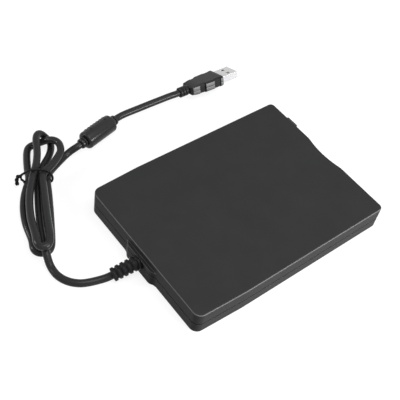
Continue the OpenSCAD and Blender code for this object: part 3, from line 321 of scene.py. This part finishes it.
def add_block(bm, m, lo, hi, soft=0.15, segments=2):
    """Box between two corners of m's frame, its edges rounded by soft."""
    part = bmesh.new()
    verts = bmesh.ops.create_cube(part, size=1)["verts"]
    for v in verts:
        v.co = Vector([(v.co[i] + 0.5) * (hi[i] - lo[i]) + lo[i] for i in range(3)])
    bmesh.ops.bevel(part, geom=list(part.edges), offset=soft, segments=segments, affect="EDGES",
                    profile=0.6)
    bmesh.ops.transform(part, matrix=m, verts=part.verts)
    copy = {v: bm.verts.new(v.co) for v in part.verts}
    for f in part.faces:
        bm.faces.new([copy[v] for v in f.verts])
    part.free()


def cut_away(obj, name, bm):
    """Takes the shape in bm off obj's mesh."""
    cutter = new_object(name, bm)
    cut = obj.modifiers.new("cut", "BOOLEAN")
    cut.operation = "DIFFERENCE"
    cut.solver = "EXACT"
    cut.object = cutter
    done = bpy.data.meshes.new_from_object(obj.evaluated_get(bpy.context.evaluated_depsgraph_get()))
    obj.modifiers.clear()
    obj.data = done
    done.set_sharp_from_angle(angle=math.radians(35))
    bpy.data.objects.remove(cutter)


def piece(obj, body, slot_name, *stands_for):
    """Hangs a finished piece on its body and hides the parts it stands for."""
    if stands_for:
        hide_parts(*stands_for)
    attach(obj, body)
    return obj


# ---------------------------------------------------------------- strain relief at the case

BACK_Y = MID_Y + 71.4
WALL_T, PAD_OUT, SEAM_Z = 1.8, 1.8, 8.4
NECK_R, RELIEF_L, RELIEF_RIBS = 3.2, 15.4, 5


def make_relief():
    """Neck through the wall, sleeve, and five fat ribs that lean down with the cord."""
    bm = bmesh.new()
    lean = RELIEF_DIR.normalized()
    root = RELIEF_TIP - RELIEF_L * lean
    straight = axes_along((0, BACK_Y - WALL_T - 1.4, SEAM_Z), (0, 1, 0))
    add_turned(bm, straight, [(0, 4.6), (0.3, 5), (1.1, 5), (1.35, 4.8), (1.36, NECK_R),
                              (5.1, NECK_R), (5.15, 4.1), (5.5, 4.4), (6.6, 4.3), (6.9, 4)])
    pitch = RELIEF_L / RELIEF_RIBS
    profile = [(0, 3.4)]
    for i in range(RELIEF_RIBS):
        a, b = pitch * (i + 0.26), pitch * (i + 1)
        r = 4.42 - 0.07 * i
        core = 3.55 - 0.06 * i
        profile += [(a, core), (a + 0.08, r - 0.42), (a + 0.22, r - 0.14), (a + 0.5, r),
                    (b - 0.5, r - 0.03), (b - 0.2, r - 0.18), (b - 0.06, r - 0.48), (b, core)]
    end = profile[-1][0]
    profile[-1] = (end, 3.4)
    profile += [(end + 0.02, 2.75), (end - 0.4, 2.5), (end - 0.42, 1)]
    add_turned(bm, axes_along(root, lean), profile)
    return piece(new_object("strain_relief_ribbed", bm, 50), "case", "relief_rubber", "strain_relief")


relief = make_relief()


# ---------------------------------------------------------------- ferrite moulding

def add_dash(bm, m, r):
    """Low rounded ridge that follows the barrel for a short way."""
    rings = []
    for k in range(-6, 7):
        turn = Matrix.Rotation(RIDGE_TURN + math.radians(3.6 * k), 4, "Z")
        top = r + 0.34 * math.sqrt(max(0.0, 1 - (k / 6) ** 2)) - 0.04
        outline = [(r - 0.5, -0.62), (top - 0.12, -0.55), (top, -0.32), (top, 0.32), (top - 0.12, 0.55),
                   (r - 0.5, 0.62)]
        rings.append([bm.verts.new(m @ turn @ Vector((x, 0, z))) for x, z in outline])
    join_rings(bm, rings)


def make_ferrite():
    """Barrel with rounded ends and two pin holes; ringed collars, a row of ridges and a seam."""
    m = axes_along(FERRITE_AT, FERRITE_DIR)
    r, half, round_r = FERRITE_D / 2, FERRITE_L / 2, 1.5
    bm = bmesh.new()
    left = [(-half, 2.5)] + [(-half + round_r - round_r * math.cos(a), r - round_r + round_r * math.sin(a))
                             for a in (math.radians(15 * k) for k in range(7))]
    add_turned(bm, m, left + [(-s, q) for s, q in reversed(left)], 64)
    barrel = new_object("ferrite_barrel", bm, 40)
    holes = bmesh.new()
    side = Matrix.Rotation(HOLE_TURN, 4, "Z")
    for z in (-5.4, 7):
        add_block(holes, m @ side, (r - 1.2, -0.6, z - 0.6), (r + 1, 0.6, z + 0.6), 0.1)
    cut_away(barrel, "pin_holes", holes)

    bm = bmesh.new()
    for s in (1, -1):
        rings = [(-0.4, 2.9), (0.2, 2.9), (0.3, 3.3), (0.5, 3.55), (1.3, 3.55), (1.5, 3.3), (1.6, 2.75),
                 (2.1, 2.75), (2.2, 3.1), (2.4, 3.35), (3.4, 3.3), (3.7, 3.1), (COLLAR_L, 2.7),
                 (COLLAR_L, 2.4)]
        add_turned(bm, m, [(s * (half + d), q) for d, q in rings])
    for i in range(7):
        add_dash(bm, m @ Matrix.Translation((0, 0, (i - 3) * 2.55 + 0.4)), r)
    seam = Matrix.Rotation(SEAM_TURN, 4, "Z")
    add_block(bm, m @ seam, (r - 0.4, -0.75, -half + 1.3), (r + 0.12, 0.75, half - 1.3), 0.1)
    trim = new_object("ferrite_trim", bm, 40)
    piece(barrel, "case", "ferrite_plastic", "ferrite_cover")
    return barrel, piece(trim, "case", "ferrite_plastic")


RIDGE_TURN, HOLE_TURN, SEAM_TURN = (math.radians(a) for a in (46, 79, 141))
ferrite, ferrite_trim = make_ferrite()


# ---------------------------------------------------------------- plug moulding

PLUG_W, PLUG_H, PLUG_L = 15.6, 7.2, 26.4
PLUG_FRAME = (Matrix.Translation(PLUG_AT) @ Matrix.Rotation(PLUG_TURN, 4, "Z")
              @ Matrix.Rotation(PLUG_ROLL, 4, "Y"))


def eight_sided(w, h, c):
    """Rectangle of half sizes w and h with its corners cut by c."""
    return [(w, h - c), (w - c, h), (c - w, h), (-w, h - c), (-w, c - h), (c - w, -h),
            (w - c, -h), (w, c - h)]


def make_plug():
    """Moulding with a lower, narrower rear, sunk bands between the grips and a ribbed relief."""
    bm = bmesh.new()
    w, h = PLUG_W / 2, PLUG_H / 2
    sections = [(0, 4.3, 2.3), (0.4, 5.1, 2.7), (1, 5.9, 3), (4.2, 6.4, h - 0.15), (6.6, 6.75, h - 0.05),
                (6.8, 6.2, h - 0.05), (10.8, 6.6, h), (11, w - 0.3, h), (18.4, w, h), (18.6, w - 0.5, h),
                (23.4, w - 0.5, h), (23.6, w, h), (25.5, w, h), (26.1, w - 0.35, h - 0.25),
                (PLUG_L, w - 0.9, h - 0.7)]
    rings = []
    for y, a, b in sections:
        m = PLUG_FRAME @ axes_along((0, -y, 0), (0, -1, 0))
        rings.append(add_ring(bm, m, eight_sided(a, b, 1)))
    join_rings(bm, rings, caps=False)
    bm.faces.new(rings[0])
    mouth = PLUG_FRAME @ axes_along((0, -PLUG_L, 0), (0, -1, 0))
    inner = add_ring(bm, mouth, eight_sided(6.05, 2.3, 0.3))
    deep = add_ring(bm, mouth @ Matrix.Translation((0, 0, -3)), eight_sided(6.05, 2.3, 0.3))
    join_rings(bm, [rings[-1], inner, deep], caps=False)
    bm.faces.new(deep)
    back = PLUG_FRAME @ axes_along((0, 0, 0), (0, 1, 0))
    relief_rings = [(-1, 3), (0.5, 3.05)]
    for i in range(3):
        a, r = 0.6 + 2.2 * i, 3.5
        relief_rings += [(a + 0.02, r - 0.3), (a + 0.25, r), (a + 1.4, r), (a + 1.65, r - 0.3),
                         (a + 1.67, 2.95)]
    relief_rings[-1] = (PLUG_RELIEF_L, 2.9)
    relief_rings += [(PLUG_RELIEF_L, 2.45), (PLUG_RELIEF_L - 0.4, 2.35)]
    add_turned(bm, back, relief_rings, 40)
    body = new_object("plug_moulding", bm, 30)
    piece(body, "case", "plug_plastic", "plug_cover")

    # Pale pads on the narrow sides, each split along its middle
    bm = bmesh.new()
    pads = [(1.3, 6.5, 6, 6.72), (11.2, 18.2, w - 0.3, w), (23.8, 25.7, w, w)]
    for side in (1, -1):
        for y0, y1, w0, w1 in pads:
            tilt = math.atan2(w1 - w0, y1 - y0)
            m = (PLUG_FRAME @ Matrix.Diagonal((side, 1, 1, 1)) @ Matrix.Translation((w0, -y0, 0))
                 @ Matrix.Rotation(tilt, 4, "Z"))
            length = math.hypot(y1 - y0, w1 - w0)
            for z0, z1 in ((-h + 1.05, -0.12), (0.12, h - 1.05)):
                add_block(bm, m, (-0.4, -length, z0), (0.14, 0, z1), 0.1)
    grips = new_object("plug_grips", bm)
    piece(grips, "case", "plug_plastic")
    return body, grips


plug_body, plug_grips = make_plug()


# ---------------------------------------------------------------- twist tie

def make_tie():
    """Coated wire round the waist of the bundle, its two ends twisted together."""
    r = TIE_D / 2 + 0.1
    top = WAIST_Z + RISE + CORD_R + r + 0.15
    side = PITCH + CORD_R + r + 0.3
    loop = [(-side - 1.2, 6.6), (-8.4, 8), (-5.4, top - 0.7), (0, top + 0.1), (5.2, top - 0.4),
            (side - 0.8, 7.6), (side, 4.6), (side - 0.8, 1.6), (4.4, r), (0, r), (-4.4, r),
            (1 - side, 1.5), (-side - 0.1, 4.2), (-side - 1.2, 5.6)]
    last = len(loop) - 1
    path = smooth([hank_point(1.4 - 2.8 * i / last, u, z) for i, (u, z) in enumerate(loop)], 8)
    bend = smooth([hank_point(0, u, z) + s * HANK_S for s, u, z in
                   ((0.2, -side - 1.2, 6.4), (0.4, -side - 2.3, 6.7), (0.2, -side - 3.3, 6.3),
                    (-0.9, -side - 3.9, 5), (-2.1, -side - 3.9, 3.8), (-3.1, -side - 3.6, 2.9))], 8)

    def twisted(phase):
        out = []
        for i, p in enumerate(bend):
            way = (bend[min(i + 1, len(bend) - 1)] - bend[max(i - 1, 0)]).normalized()
            m = axes_along(p, way, (1, 0.3, 0.2))
            a = phase + 0.3 * i
            out.append(m @ Vector((0.55 * math.cos(a), 0.55 * math.sin(a), 0)))
        return out

    whole = list(reversed(twisted(0))) + path + twisted(math.pi)
    return piece(make_curve("twist_tie_wire", whole, r, 4), "case", "tie_black", "twist_tie")


tie = make_tie()


# ---------------------------------------------------------------- stage and light

def shader(name):
    material = bpy.data.materials.new(name)
    material.use_nodes = True
    tree = material.node_tree
    tree.nodes.clear()
    return material, tree


def seen_directly(tree):
    """1 for camera, glossy and transmission rays, else 0."""
    path = tree.nodes.new("ShaderNodeLightPath")
    total = path.outputs["Is Camera Ray"]
    for other in ("Is Glossy Ray", "Is Transmission Ray"):
        add = tree.nodes.new("ShaderNodeMath")
        add.operation = "ADD"
        add.use_clamp = True
        tree.links.new(total, add.inputs[0])
        tree.links.new(path.outputs[other], add.inputs[1])
        total = add.outputs[0]
    return total


def make_stage():
    """White floor that keeps the object's shadow, and a white world to the camera."""
    material, tree = shader("stage_white")
    n, link = tree.nodes, tree.links.new
    out = n.new("ShaderNodeOutputMaterial")
    diffuse = n.new("ShaderNodeBsdfDiffuse")
    diffuse.inputs["Color"].default_value = (0.26, 0.26, 0.26, 1)
    glow = n.new("ShaderNodeEmission")
    glow.inputs["Strength"].default_value = FLOOR_GLOW
    both = n.new("ShaderNodeAddShader")
    white = n.new("ShaderNodeMixShader")
    link(diffuse.outputs[0], both.inputs[0])
    link(glow.outputs[0], both.inputs[1])
    link(seen_directly(tree), white.inputs[0])
    link(diffuse.outputs[0], white.inputs[1])
    link(both.outputs[0], white.inputs[2])
    link(white.outputs[0], out.inputs[0])
    mesh = bpy.data.meshes.new("floor")
    r = 6
    mesh.from_pydata([(-r, -r, 0), (r, -r, 0), (r, r, 0), (-r, r, 0)], [], [(0, 1, 2, 3)])
    floor = bpy.data.objects.new("floor", mesh)
    floor.location.z = -0.00005
    bpy.context.collection.objects.link(floor)
    mesh.materials.append(material)

    world = bpy.data.worlds.new("world")
    bpy.context.scene.world = world
    world.use_nodes = True
    tree = world.node_tree
    n, link = tree.nodes, tree.links.new
    n.clear()
    out = n.new("ShaderNodeOutputWorld")
    soft = n.new("ShaderNodeBackground")
    soft.inputs["Color"].default_value = (1, 1, 1, 1)
    soft.inputs["Strength"].default_value = WORLD_SOFT
    seen = n.new("ShaderNodeBackground")
    seen.inputs["Color"].default_value = (1, 1, 1, 1)
    seen.inputs["Strength"].default_value = 1
    choose = n.new("ShaderNodeMixShader")
    link(seen_directly(tree), choose.inputs[0])
    link(soft.outputs[0], choose.inputs[1])
    link(seen.outputs[0], choose.inputs[2])
    link(choose.outputs[0], out.inputs[0])


def make_lamp(name, at, to, size, power):
    data = bpy.data.lights.new(name, "AREA")
    data.shape = "RECTANGLE"
    data.size, data.size_y = size
    data.energy = power
    lamp = bpy.data.objects.new(name, data)
    bpy.context.collection.objects.link(lamp)
    lamp.location = at
    lamp.rotation_euler = (Vector(to) - Vector(at)).to_track_quat("-Z", "Y").to_euler()


FLOOR_GLOW, WORLD_SOFT = 0.84, 0.1
make_stage()
make_lamp("top", (-0.3, -0.1, 1.2), (0, 0, 0), (0.8, 0.8), 9)
make_lamp("side", (-1.0, -0.4, 0.4), (0, 0, 0), (0.45, 0.45), 17)
make_lamp("streak", (0.62, 0.72, 0.42), (0.05, 0.05, 0), (0.1, 0.3), 4)
bpy.context.scene.view_settings.view_transform = "Standard"


# ---------------------------------------------------------------- materials

def set_input(node, name, value):
    node.inputs[name].default_value = value


def finish_material(name, color, rough, metal=0.0, spec=0.5, grain=2600, grain_depth=0.02,
                    mottle=0.12, wear=0.25, painted_rim_highlight=0.0, coat=0.0, aniso=0.0, seam=False):
    """Procedural finish: colour mottling, roughness changes, fine grain in the bump, paler worn edges.

    rim paints the rounding between a top and its sides a paler grey, a painted highlight;
    seam darkens a band along the joint between the case's two halves, a painted shade.
    """
    material, tree = shader(name)
    n, link = tree.nodes, tree.links.new
    out = n.new("ShaderNodeOutputMaterial")
    bsdf = n.new("ShaderNodeBsdfPrincipled")
    link(bsdf.outputs[0], out.inputs[0])
    set_input(bsdf, "Metallic", metal)
    set_input(bsdf, "Specular IOR Level", spec)
    set_input(bsdf, "Coat Weight", coat)
    if aniso:
        set_input(bsdf, "Anisotropic", aniso)
    where = n.new("ShaderNodeTexCoord")
    large = n.new("ShaderNodeTexNoise")
    set_input(large, "Scale", 60)
    set_input(large, "Detail", 4)
    fine = n.new("ShaderNodeTexNoise")
    set_input(fine, "Scale", grain)
    set_input(fine, "Detail", 3)
    for tex in (large, fine):
        link(where.outputs["Object"], tex.inputs["Vector"])
    dark = [c * (1 - mottle) for c in color] + [1]
    light = [min(1, c * (1 + mottle)) for c in color] + [1]
    tint = n.new("ShaderNodeMix")
    tint.data_type = "RGBA"
    tint.inputs[6].default_value = dark
    tint.inputs[7].default_value = light
    link(large.outputs["Fac"], tint.inputs[0])
    edge = n.new("ShaderNodeBevel")
    edge.samples = 4
    set_input(edge, "Radius", 0.0005)
    shape = n.new("ShaderNodeNewGeometry")
    dot = n.new("ShaderNodeVectorMath")
    dot.operation = "DOT_PRODUCT"
    link(edge.outputs[0], dot.inputs[0])
    link(shape.outputs["Normal"], dot.inputs[1])
    worn = n.new("ShaderNodeMapRange")
    set_input(worn, "From Min", 0.985)
    set_input(worn, "From Max", 0.86)
    set_input(worn, "To Max", wear)
    link(dot.outputs["Value"], worn.inputs["Value"])
    patch = n.new("ShaderNodeMath")
    patch.operation = "MULTIPLY"
    link(worn.outputs[0], patch.inputs[0])
    link(large.outputs["Fac"], patch.inputs[1])
    rubbed = n.new("ShaderNodeMix")
    rubbed.data_type = "RGBA"
    rubbed.inputs[7].default_value = [min(1, c * 1.8 + 0.03) for c in color] + [1]
    link(patch.outputs[0], rubbed.inputs[0])
    link(tint.outputs[2], rubbed.inputs[6])
    link(rubbed.outputs[2], bsdf.inputs["Base Color"])
    # Painted highlight: the rounding between a top and its sides turns paler grey by the slant of its
    # normal, in place of the light it catches.
    if painted_rim_highlight:
        split = n.new("ShaderNodeSeparateXYZ")
        rounding = n.new("ShaderNodeBevel")
        rounding.samples = 6
        set_input(rounding, "Radius", 0.001)
        link(rounding.outputs[0], split.inputs[0])
        slant = n.new("ShaderNodeFloatCurve")
        curve = slant.mapping.curves[0]
        curve.points[0].location = (0, 0)
        curve.points[1].location = (1, 0)
        for at in ((0.12, 0), (0.45, 1), (0.7, 0.5), (0.9, 0)):
            curve.points.new(*at)
        link(split.outputs["Z"], slant.inputs["Value"])
        amount = n.new("ShaderNodeMath")
        amount.operation = "MULTIPLY"
        set_input(amount, 1, painted_rim_highlight)
        link(slant.outputs[0], amount.inputs[0])
        pale = n.new("ShaderNodeMix")
        pale.data_type = "RGBA"
        pale.inputs[7].default_value = (0.25, 0.25, 0.253, 1)
        link(amount.outputs[0], pale.inputs[0])
        link(rubbed.outputs[2], pale.inputs[6])
        link(pale.outputs[2], bsdf.inputs["Base Color"])
    # Painted shade: a near-black band along the joint of the case's two halves, in place of the shadow in
    # the gap.
    if seam:
        place = n.new("ShaderNodeSeparateXYZ")
        link(where.outputs["Object"], place.inputs[0])
        off = n.new("ShaderNodeMath")
        off.operation = "SUBTRACT"
        set_input(off, 1, SEAM_Z * MM)
        link(place.outputs["Z"], off.inputs[0])
        away = n.new("ShaderNodeMath")
        away.operation = "ABSOLUTE"
        link(off.outputs[0], away.inputs[0])
        seam_shade_mask = n.new("ShaderNodeMapRange")
        set_input(seam_shade_mask, "From Min", 0.6 * MM)
        set_input(seam_shade_mask, "From Max", 0.4 * MM)
        link(away.outputs[0], seam_shade_mask.inputs["Value"])
        seam_shaded_color = n.new("ShaderNodeMix")
        seam_shaded_color.data_type = "RGBA"
        seam_shaded_color.inputs[7].default_value = (0.005, 0.005, 0.005, 1)
        link(seam_shade_mask.outputs[0], seam_shaded_color.inputs[0])
        link(bsdf.inputs["Base Color"].links[0].from_socket, seam_shaded_color.inputs[6])
        link(seam_shaded_color.outputs[2], bsdf.inputs["Base Color"])
    gloss = n.new("ShaderNodeMapRange")
    set_input(gloss, "To Min", max(0.02, rough - 0.06))
    set_input(gloss, "To Max", min(1, rough + 0.06))
    link(fine.outputs["Fac"], gloss.inputs["Value"])
    link(gloss.outputs[0], bsdf.inputs["Roughness"])
    bump = n.new("ShaderNodeBump")
    set_input(bump, "Strength", 1)
    set_input(bump, "Distance", grain_depth * MM)
    link(fine.outputs["Fac"], bump.inputs["Height"])
    link(edge.outputs[0], bump.inputs["Normal"])
    link(bump.outputs[0], bsdf.inputs["Normal"])
    return material


FINISHES = {
    # The case's covers carry a painted highlight on their rounded top edges and painted shade along their
    # seam.
    "case_top": dict(color=(0.033, 0.033, 0.034), rough=0.42, spec=0.03, painted_rim_highlight=0.9, seam=True),
    "case_bottom": dict(color=(0.033, 0.033, 0.034), rough=0.42, spec=0.03, painted_rim_highlight=0.9, seam=True),
    "case_front": dict(color=(0.030, 0.030, 0.031), rough=0.4, spec=0.1),
    "door_plastic": dict(color=(0.025, 0.025, 0.026), rough=0.4, spec=0.2),
    "button_plastic": dict(color=(0.036, 0.036, 0.037), rough=0.38, spec=0.2),
    "lamp_green": dict(color=(0.25, 0.5, 0.2), rough=0.2),
    "bright_steel": dict(color=(0.55, 0.55, 0.55), rough=0.25, metal=1),
    "spring_steel": dict(color=(0.55, 0.55, 0.55), rough=0.35, metal=1),
    "zinc_sheet": dict(color=(0.42, 0.43, 0.45), rough=0.38, metal=1),
    "stainless_sheet": dict(color=(0.46, 0.46, 0.46), rough=0.32, metal=1),
    "screw_steel": dict(color=(0.45, 0.45, 0.47), rough=0.3, metal=1),
    "board_green": dict(color=(0.03, 0.14, 0.06), rough=0.35),
    "copper_windings": dict(color=(0.62, 0.3, 0.14), rough=0.4, metal=0.8),
    "bronze": dict(color=(0.5, 0.36, 0.17), rough=0.45, metal=1),
    "carriage_plastic": dict(color=(0.5, 0.48, 0.38), rough=0.5),
    "ferrite_black": dict(color=(0.06, 0.06, 0.065), rough=0.6),
    "motor_can": dict(color=(0.5, 0.5, 0.51), rough=0.35, metal=1),
    "chip_black": dict(color=(0.02, 0.02, 0.02), rough=0.5),
    "flex_film": dict(color=(0.6, 0.56, 0.42), rough=0.3),
    "foot_rubber": dict(color=(0.02, 0.02, 0.02), rough=0.8),
    "relief_rubber": dict(color=(0.011, 0.011, 0.012), rough=0.36, spec=0.12),
    "cord_black": dict(color=(0.018, 0.018, 0.019), rough=0.25, spec=0.16),
    "tie_black": dict(color=(0.008, 0.008, 0.008), rough=0.36, spec=0.1),
    "ferrite_plastic": dict(color=(0.016, 0.016, 0.017), rough=0.26, spec=0.22),
    "plug_plastic": dict(color=(0.015, 0.015, 0.016), rough=0.36, spec=0.14),
    "plug_metal": dict(color=(0.56, 0.56, 0.57), rough=0.24, metal=1),
    "tongue_plastic": dict(color=(0.03, 0.03, 0.03), rough=0.4),
    "gold_contact": dict(color=(0.55, 0.4, 0.18), rough=0.3, metal=1),
}
materials = {name: finish_material(name, **f) for name, f in FINISHES.items()}


def dress(obj, slot_name):
    obj.data.materials.clear()
    obj.data.materials.append(materials[slot_name])


slots = {s["node"]: s["material_slot"] for s in frame["record"]["subparts"]}
for name, obj in nodes.items():
    dress(obj, slots[name])
for obj in (case_cord, plug_cord):
    dress(obj, "cord_black")
dress(relief, "relief_rubber")
for obj in (ferrite, ferrite_trim):
    dress(obj, "ferrite_plastic")
dress(tie, "tie_black")
dress(plug_body, "plug_plastic")
plug_grips.data.materials.append(finish_material("plug_grip_pads", color=(0.13, 0.13, 0.132), rough=0.45))
